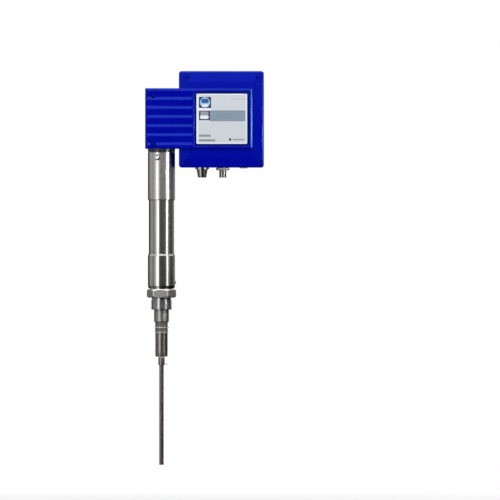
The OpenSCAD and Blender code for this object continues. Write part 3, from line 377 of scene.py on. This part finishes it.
def dress_fasteners():
    dress(
        plain_metal("screw_steel", (0.62, 0.62, 0.61, 1), 0.25),
        "locking_screw", "drain_screw", "board_screws", "spigot_nut", "gland_washer", "gland_nut")
    dress(plain_metal("ring_wire", (0.86, 0.84, 0.81, 1), 0.35, metallic=0.35), "retaining_rings")
    dress(plain_metal("spring_steel", (0.30, 0.30, 0.31, 1), 0.35), "disc_springs")
    dress(plain_metal("pin_steel", (0.07, 0.068, 0.065, 1), 0.4), "locking_pin")
    dress(plain_metal("brass", (0.72, 0.53, 0.25, 1), 0.25), "core_nut", "earth_screw")


def dress_connectors():
    dress(plain_metal("nickel", (0.56, 0.55, 0.53, 1), 0.16), "socket_shell", "plug_shell", "connector_nuts")
    dress(plain_metal("gold_contact", (0.88, 0.66, 0.28, 1), 0.15), "socket_contacts", "plug_pins")


def dress_housing():
    dress(blue_paint(), "housing_base", "housing_cover")
    # The screws' blue coat is lighter than the housing's paint: painted light against the shade of their
    # deep holes
    dress(
        moulded("screw_coat", (0.0005, 0.002, 0.5, 1), 0.25, ior=1.35, **PAINT_SPECULAR), "cover_screws")
    dress(label_print(), "label_plate")
    dress(moulded("vent_plastic", (0.32, 0.33, 0.34, 1), 0.5), "vent_plug")


def dress_seals():
    dress(
        moulded("black_rubber", (0.018, 0.018, 0.02, 1), 0.6),
        "spigot_o_rings", "cover_gasket", "connector_seals")
    dress(moulded("seal_rubber", (0.05, 0.05, 0.055, 1), 0.25, grain_depth=0.004 * MM), "swivel_seal")


def dress_plastics():
    dress(
        moulded("white_ptfe", (0.82, 0.82, 0.79, 1), 0.42),
        "tip_washer", "inner_insulator", "cable_spacer", "gland_insulator")
    dress(moulded("bush_plastic", (0.14, 0.125, 0.11, 1), 0.3, ior=1.6), "insulating_bush")
    dress(
        moulded("black_plastic", (0.02, 0.02, 0.022, 1), 0.45),
        "socket_insert", "plug_insert", "cable_socket", "processor_chip", "power_module")


def dress_electronics():
    dress(moulded("board_green", (0.01, 0.12, 0.045, 1), 0.35), "circuit_board")
    dress(moulded("terminal_plastic", (0.12, 0.34, 0.10, 1), 0.45), "terminal_block")
    dress(moulded("cable_jacket", (0.55, 0.55, 0.53, 1), 0.5), "sensor_cable", "connector_leads")
    dress(moulded("capacitor_sleeve", (0.02, 0.03, 0.10, 1), 0.3), "capacitors")
    dress(moulded("led_lens", (0.08, 0.55, 0.10, 1), 0.2), "status_leds")


# Changed copies of nodes

def copied(name, node):
    data = NODES[node].data.copy()
    data.name = name
    return data


def stand_in(data, node, body):
    """Puts a changed copy of a node's mesh in the node's place, under the copy's name."""
    made = bpy.data.objects.new(data.name, data)
    bpy.context.scene.collection.objects.link(made)
    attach(made, body)
    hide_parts(node)
    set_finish(made, NODES[node]["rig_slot"])


def add_ring(mesh, centre, angles, heights, inner, radius_at):
    """Adds a closed ring to the bmesh, plain inside and with the given radii outside."""
    circles = []
    for j, height in enumerate([heights[0], *heights, heights[-1]]):
        circle = []
        for angle in angles:
            radius = inner if j in (0, len(heights) + 1) else radius_at(angle, height)
            circle.append(mesh.verts.new((
                centre[0] + radius * math.cos(angle), centre[1] + radius * math.sin(angle), height)))
        circles.append(circle)
    circles.append(circles[0])
    count = len(angles)
    for below, above in zip(circles, circles[1:]):
        for i in range(count):
            k = (i + 1) % count
            mesh.faces.new((below[i], below[k], above[k], above[i])).smooth = True
    for flat in (circles[0], circles[1], circles[-2], circles[-3]):
        for i in range(count):
            mesh.edges.get((flat[i], flat[(i + 1) % count])).smooth = False


def draw_in(mesh, centre, span, radii, core):
    """Moves what lies between two heights and two radii in to the core's radius."""
    for vertex in mesh.verts:
        x, y = vertex.co.x - centre[0], vertex.co.y - centre[1]
        radius = math.hypot(x, y)
        at_height = span[0] - SLACK < vertex.co.z < span[1] + SLACK
        if at_height and radii[0] - SLACK < radius < radii[1] + SLACK:
            vertex.co.x = centre[0] + x * core / radius
            vertex.co.y = centre[1] + y * core / radius


# Hexagons

# The hexagon above the process thread: the heights of its two faces, the turn it was tightened to, its
# distances from the axis to a flat, to a broken corner and to the edge of an end face, the chamfer's
# slope, and the radius of the plain core inside it
HEXAGON_SPAN = (3.2 * MM, 17 * MM)
HEXAGON_TURN = math.radians(25.6)
HEXAGON_FLAT = 21 * MM
HEXAGON_CORNER = 23.8 * MM
HEXAGON_END = 20.7 * MM
HEXAGON_SLOPE = 1.63
HEXAGON_CORE = 18.6 * MM
# Radii between which the node's own hexagon has its corners and edges
OWN_HEXAGON_RADII = (20 * MM, 24 * MM)
CORE_OVERLAP = 0.5 * MM
# Directions from a flat's middle at which the outside is set out in degrees, closer at the broken corner
HEXAGON_STEPS = [
    *(2.5 * step for step in range(-10, 11)),
    26, 27, 27.3, 27.5, 27.7, 28, 29, 30, 31, 32, 32.3, 32.5, 32.7, 33, 34]
# Heights at which it is set out: closely spaced over the chamfer at each end, and a few round the middle
CHAMFER_RISES = [0.13 * MM * step for step in range(21)]
MIDDLE_RISES = [rise * MM for rise in (-3.5, -2, 0, 2, 3.5)]
# How sharp the edges are, from corner to flat and from chamfer to flat
CORNER_SHARPNESS = 600
CHAMFER_SHARPNESS = 50
# The plug's hexagon: the heights of its two faces, and its turn
PLUG_HEXAGON_SPAN = (209.7 * MM, 213.9 * MM)
PLUG_HEXAGON_TURN = math.radians(18)


def rounded_least(radii, sharpness):
    """The least of some radii, with the edge where two of them meet rounded off."""
    least = min(radii)
    return least * sum((least / radius) ** sharpness for radius in radii) ** (-1 / sharpness)


def hexagon_radius(angle, height):
    """Radius of the hexagon's outside: six flats, six broken corners between them, and the chamfers."""
    sides = []
    for k in range(12):
        lean = math.cos(angle - HEXAGON_TURN - k * math.pi / 6)
        if lean > 0.5:
            sides.append((HEXAGON_CORNER if k % 2 else HEXAGON_FLAT) / lean)
    from_end = min(height - HEXAGON_SPAN[0], HEXAGON_SPAN[1] - height)
    chamfer = HEXAGON_END + HEXAGON_SLOPE * from_end
    return rounded_least([rounded_least(sides, CORNER_SHARPNESS), chamfer], CHAMFER_SHARPNESS)


def shape_body_hexagon(mesh):
    """Puts a hexagon with broken corners round a plain core."""
    low, high = HEXAGON_SPAN
    draw_in(mesh, (0, 0), HEXAGON_SPAN, OWN_HEXAGON_RADII, HEXAGON_CORE + CORE_OVERLAP)
    angles = [
        HEXAGON_TURN + math.radians(60 * flat + step) for flat in range(6) for step in HEXAGON_STEPS]
    heights = [
        *(low - SLACK + rise for rise in CHAMFER_RISES),
        *((low + high) / 2 + rise for rise in MIDDLE_RISES),
        *(high + SLACK - rise for rise in reversed(CHAMFER_RISES))]
    add_ring(mesh, (0, 0), angles, heights, HEXAGON_CORE, hexagon_radius)


def turn_plug_hexagon(mesh, centre):
    """Turns the plug's hexagon about the plug's own axis."""
    low, high = PLUG_HEXAGON_SPAN
    axis = Vector((centre[0], centre[1], 0))
    turned = Matrix.Rotation(PLUG_HEXAGON_TURN, 3, "Z")
    for vertex in mesh.verts:
        if low - SLACK < vertex.co.z < high + SLACK:
            vertex.co = axis + turned @ (vertex.co - axis)


# Screw threads

# How finely a thread is set out
ROWS_PER_PITCH = 20
STEPS_AROUND = 144
# The thread's lower end stands back from the node's plain face by this much
END_STEP = 0.03 * MM
PLUG_THREAD_LENGTH = 11.7 * MM


def thread_radius(angle, height, pitch, root, crest):
    """Radius of a one-start right-hand thread with blunt crests and roots."""
    turn = height / pitch - angle / (2 * math.pi)
    share = 0.6 + 0.9 * math.sin(2 * math.pi * turn)
    return root + (crest - root) * min(1, max(0, share))


def threaded(name, node, body, centre, span, plain, inner, root, crest, pitch, entry, shape_hexagon):
    """Puts a copy of the node in its place, with a thread between two heights. The thread stands where the
    plain outside was between two radii, and it starts at the entry's radius with a chamfer."""
    data = copied(name, node)
    if "custom_normal" in data.attributes:
        data.attributes.remove(data.attributes["custom_normal"])
    mesh = bmesh.new()
    mesh.from_mesh(data)
    draw_in(mesh, centre, span, plain, (inner + root) / 2)
    shape_hexagon(mesh)
    length = span[1] - span[0]
    low = span[0] + END_STEP
    rows = round(length / pitch * ROWS_PER_PITCH)
    angles = [2 * math.pi * i / STEPS_AROUND for i in range(STEPS_AROUND)]
    heights = [low + length * j / rows for j in range(rows + 1)]

    def radius_at(angle, height):
        return min(thread_radius(angle, height, pitch, root, crest), entry + height - low)

    add_ring(mesh, centre, angles, heights, inner, radius_at)
    mesh.to_mesh(data)
    mesh.free()
    stand_in(data, node, body)


def add_process_thread():
    threaded(
        "process_thread", "process_body", "stem", (0, 0), (-16.2 * MM, 0),
        plain=(15.425 * MM, 16.625 * MM), inner=14.6 * MM, root=15.6 * MM, crest=17 * MM,
        pitch=2.309 * MM, entry=15.8 * MM, shape_hexagon=shape_body_hexagon)


def add_plug_thread():
    low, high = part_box("plug_shell")
    centre = ((low.x + high.x) / 2, (low.y + high.y) / 2)
    threaded(
        "plug_thread", "plug_shell", "head", centre, (low.z, low.z + PLUG_THREAD_LENGTH),
        plain=(5.5 * MM, 6 * MM), inner=5.15 * MM, root=5.43 * MM, crest=6 * MM,
        pitch=1 * MM, entry=5.5 * MM, shape_hexagon=lambda mesh: turn_plug_hexagon(mesh, centre))


# Screws and pieces on the stem's axis

# The heads of the two cover screws beside the stem, which are left of one place and in front of another,
# stand this much higher in their deep holes
BESIDE_STEM_X = 20 * MM
HEADS_Y = -20 * MM
SCREW_RISE = 5.5 * MM
# Round pieces on the stem's axis that look thicker than their solids: name, node, the distance from the
# axis outside which it is thicker, and by how much
THICKER = [
    ("thicker_rod", "measuring_rod", 0, 1.18),
    ("thicker_coupling", "rod_coupling", 0, 1.12),
    ("thicker_washer", "tip_washer", 0, 1.12),
    ("thicker_guard", "guard_electrode", 8.5 * MM, 1.05),
]


def add_cover_screws():
    data = copied("cover_screw_set", "cover_screws")
    for vertex in data.vertices:
        if vertex.co.x < BESIDE_STEM_X and vertex.co.y < HEADS_Y:
            vertex.co.y -= SCREW_RISE
    stand_in(data, "cover_screws", "head")


def add_thicker_pieces():
    for name, node, core, share in THICKER:
        data = copied(name, node)
        for vertex in data.vertices:
            if math.hypot(vertex.co.x, vertex.co.y) > core:
                vertex.co.x *= share
                vertex.co.y *= share
        stand_in(data, node, "stem")


# Floor and background

WORLD_LEVEL = 0.3
FLOOR_Z = -330 * MM
FLOOR_RADIUS = 9.0
FLOOR_CORNERS = 96
FLOOR_PAPER = (0.85, 0.85, 0.85, 1)
# The floor's share of pure white near the stem and far from it, and the two distances
WHITE_NEAR = 0.72
WHITE_FAR = 1.0
WHITE_DISTANCES = (0.3, 1.4)


def mesh_object(name, vertices, faces):
    mesh = bpy.data.meshes.new(name)
    mesh.from_pydata(vertices, [], faces)
    mesh.validate()
    made = bpy.data.objects.new(name, mesh)
    bpy.context.scene.collection.objects.link(made)
    return made


def emptied_material(name):
    made = bpy.data.materials.new(name)
    made.use_nodes = True
    made.node_tree.nodes.clear()
    return made, Graph(made.node_tree)


def add_world():
    """White where it is seen directly or in a mirror, and a soft light for the rest."""
    world = bpy.data.worlds.new("studio")
    bpy.context.scene.world = world
    world.use_nodes = True
    graph = Graph(world.node_tree)
    background = world.node_tree.nodes["Background"]
    background.inputs["Color"].default_value = (1, 1, 1, 1)
    path = graph.node("ShaderNodeLightPath").outputs
    seen = path["Is Camera Ray"]
    for name in ("Is Glossy Ray", "Is Transmission Ray"):
        seen = graph.math("MAXIMUM", seen, path[name])
    graph.put(background.inputs["Strength"], graph.span(seen, 0, 1, WORLD_LEVEL, 1.0))


def floor_material():
    made, graph = emptied_material("floor")
    from_stem = graph.vector("LENGTH", graph.scaled(graph.place(), (1, 1, 0)), output=1)
    white_share = graph.span(from_stem, *WHITE_DISTANCES, WHITE_NEAR, WHITE_FAR)
    paper = graph.node("ShaderNodeBsdfDiffuse", {"Color": FLOOR_PAPER}).outputs[0]
    white = graph.node("ShaderNodeEmission", {"Strength": 1.0}).outputs[0]
    camera_ray = graph.node("ShaderNodeLightPath").outputs["Is Camera Ray"]
    share = graph.math("MULTIPLY", camera_ray, white_share)
    mixed = graph.node("ShaderNodeMixShader", {0: share, 1: paper, 2: white}).outputs[0]
    graph.node("ShaderNodeOutputMaterial", {"Surface": mixed})
    return made


def add_floor():
    """White round floor whose shadows fade into the white background with distance."""
    turn = 2 * math.pi / FLOOR_CORNERS
    ring = [
        (FLOOR_RADIUS * math.cos(i * turn), FLOOR_RADIUS * math.sin(i * turn), FLOOR_Z)
        for i in range(FLOOR_CORNERS)]
    floor = mesh_object("floor", ring, [list(range(FLOOR_CORNERS))])
    floor.data.materials.append(floor_material())
    floor.visible_glossy = False


# Dome: the surroundings that reflections see

# Brightness of the surroundings round the stem, by the angle from the front towards +X in degrees
ROUND_LEVELS = [
    (-180, .03), (-150, .03), (-138, .05), (-124, .14), (-112, .36), (-104, .46), (-95, .46), (-84, .34),
    (-72, .27), (-66, .38), (-60, .55), (-52, .72), (-46, .95), (-41, 1.5), (-38, 3.2), (-30, 3.2),
    (-25, 1.6), (-21, .5), (-16, .18), (-10, .1), (0, .09), (20, .1), (32, .14), (40, .25), (44, 1.0),
    (48, 3.2), (52, 3.2), (57, .9), (64, .5), (72, .17), (84, .13), (95, .05), (108, .12), (124, .19),
    (138, .34), (150, .36), (165, .2), (180, .03)]
# Brightness of the light overhead, by the height above the horizon in degrees
OVERHEAD_LEVELS = [
    (-90, 0), (1, 0), (2.6, .7), (26, .72), (31, 3.2), (40, 3.2), (46, 2.5), (66, 2.0), (90, 1.0)]
# Heights between which the surroundings end above, and where they give way to the floor's level
ROUND_TOP = (30, 45)
ROUND_FOOT = (-60, -42)
FLOOR_LEVEL = 0.05
# Heights between which each side grows darker, and the share of its light that is left below them
LEFT_LOW_HEIGHTS = (-26, -15)
LEFT_LOW_SHARE = 0.38
RIGHT_LOW_HEIGHTS = (-20, -15)
RIGHT_LOW_SHARE = 0.05
# The left softbox's flag: it hides what is right of these angles and above these heights
FLAG_ANGLES = (-32, -27)
FLAG_HEIGHTS = (-6, -4)
# The light overhead ends between these angles from the front, below these heights
BACK_ANGLES = (110, 150)
BACK_HEIGHTS = (36, 50)
# A narrow bright lamp at the box's height, which its right-hand edges pick up: where it begins and ends
EDGE_LAMP_ANGLES = (50, 52, 57, 59)
EDGE_LAMP_HEIGHTS = (-3.2, -2.4, 0.6, 2.0)
EDGE_LAMP_LEVEL = 45

DOME_RADIUS = 1.0
DOME_CENTRE_Z = 300 * MM
DOME_COLUMNS = 360
DOME_ROWS = 100
# The height of the dome's lowest row, and from there to the top, in degrees
DOME_FOOT = -70
DOME_RISE = 160


def ramp(value, low, high):
    share = min(1, max(0, (value - low) / (high - low)))
    return share * share * (3 - 2 * share)


def window(value, a, b, c, d):
    """Rises from 0 to 1 between a and b, and falls back between c and d."""
    return ramp(value, a, b) * (1 - ramp(value, c, d))


def read_off(levels, at):
    for (a, low), (b, high) in zip(levels, levels[1:]):
        if a <= at <= b:
            return low + (high - low) * (at - a) / (b - a)
    raise ValueError(at)


def dome_level(angle, height):
    """Brightness in one direction: the round below, then a soft light overhead, dark towards the back."""
    around = read_off(ROUND_LEVELS, angle) * (1 - ramp(height, *ROUND_TOP))
    if angle < 0:
        around *= 1 - ramp(angle, *FLAG_ANGLES) * ramp(height, *FLAG_HEIGHTS)
        around *= LEFT_LOW_SHARE + (1 - LEFT_LOW_SHARE) * ramp(height, *LEFT_LOW_HEIGHTS)
    else:
        around *= RIGHT_LOW_SHARE + (1 - RIGHT_LOW_SHARE) * ramp(height, *RIGHT_LOW_HEIGHTS)
    around = FLOOR_LEVEL + (around - FLOOR_LEVEL) * ramp(height, *ROUND_FOOT)
    front_share = 1 - ramp(abs(angle), *BACK_ANGLES) * (1 - ramp(height, *BACK_HEIGHTS))
    overhead = read_off(OVERHEAD_LEVELS, height) * front_share
    edge = window(angle, *EDGE_LAMP_ANGLES) * window(height, *EDGE_LAMP_HEIGHTS)
    return max(around, overhead, edge * EDGE_LAMP_LEVEL)


def dome_place(angle, height):
    a, h = math.radians(angle), math.radians(height)
    return (
        DOME_RADIUS * math.sin(a) * math.cos(h),
        -DOME_RADIUS * math.cos(a) * math.cos(h),
        DOME_CENTRE_Z + DOME_RADIUS * math.sin(h))


def dome_faces():
    faces = []
    for j in range(DOME_ROWS):
        below, above = j * DOME_COLUMNS, (j + 1) * DOME_COLUMNS
        for i in range(DOME_COLUMNS):
            k = (i + 1) % DOME_COLUMNS
            faces.append([below + i, below + k, above + k, above + i])
    faces.append(list(range(DOME_COLUMNS)))
    return faces


def add_dome():
    """Softboxes, flags and overhead light as one dome, which only reflections see."""
    vertices, levels = [], []
    for j in range(DOME_ROWS + 1):
        height = DOME_FOOT + DOME_RISE * j / DOME_ROWS
        for i in range(DOME_COLUMNS):
            angle = -180 + 360 * i / DOME_COLUMNS
            vertices.append(dome_place(angle, height))
            levels.append(dome_level(angle, height))
    dome = mesh_object("dome", vertices, dome_faces())
    attribute = dome.data.attributes.new("level", "FLOAT", "POINT")
    attribute.data.foreach_set("value", levels)
    made, graph = emptied_material("dome")
    level = graph.node("ShaderNodeAttribute", attribute_name="level").outputs["Fac"]
    glow = graph.node("ShaderNodeEmission", {"Strength": level}).outputs[0]
    graph.node("ShaderNodeOutputMaterial", {"Surface": glow})
    dome.data.materials.append(made)
    dome.visible_camera = False
    dome.visible_diffuse = False
    dome.visible_transmission = False
    dome.visible_shadow = False


# Lamps: the light that matt surfaces see

LAMP_AIM = Vector((40 * MM, 0, 120 * MM))
# Name, azimuth and elevation in degrees, distance, size and power of each softbox
LAMPS = [
    ("lamp_key", -8, 48, 1.6, (1.1, 0.8), 10),
    ("lamp_left", -20, 20, 1.6, (0.7, 1.2), 3.5),
    ("lamp_right", 50, 20, 1.6, (0.6, 1.2), 3),
    ("lamp_top", -10, 82, 1.5, (1.2, 1.2), 5),
    ("lamp_back", 165, 35, 1.8, (1.0, 1.0), 6),
]


def add_lamp(name, azimuth, elevation, distance, size, power):
    """Softbox that points at the middle of the object. Reflections see the dome in its place."""
    data = bpy.data.lights.new(name, "AREA")
    data.shape = "RECTANGLE"
    data.size, data.size_y = size
    data.energy = power
    lamp = bpy.data.objects.new(name, data)
    a, e = math.radians(azimuth), math.radians(elevation)
    away = Vector((math.sin(a) * math.cos(e), -math.cos(a) * math.cos(e), math.sin(e)))
    lamp.location = LAMP_AIM + away * distance
    lamp.rotation_euler = away.to_track_quat("Z", "Y").to_euler()
    lamp.visible_camera = False
    lamp.visible_glossy = False
    bpy.context.scene.collection.objects.link(lamp)


# Build

bpy.context.scene.view_settings.view_transform = "Standard"
add_camera()

dress_stem()
dress_fasteners()
dress_connectors()
dress_housing()
dress_seals()
dress_plastics()
dress_electronics()

add_process_thread()
add_plug_thread()
add_cover_screws()
add_thicker_pieces()

add_world()
add_floor()
add_dome()
for lamp in LAMPS:
    add_lamp(*lamp)
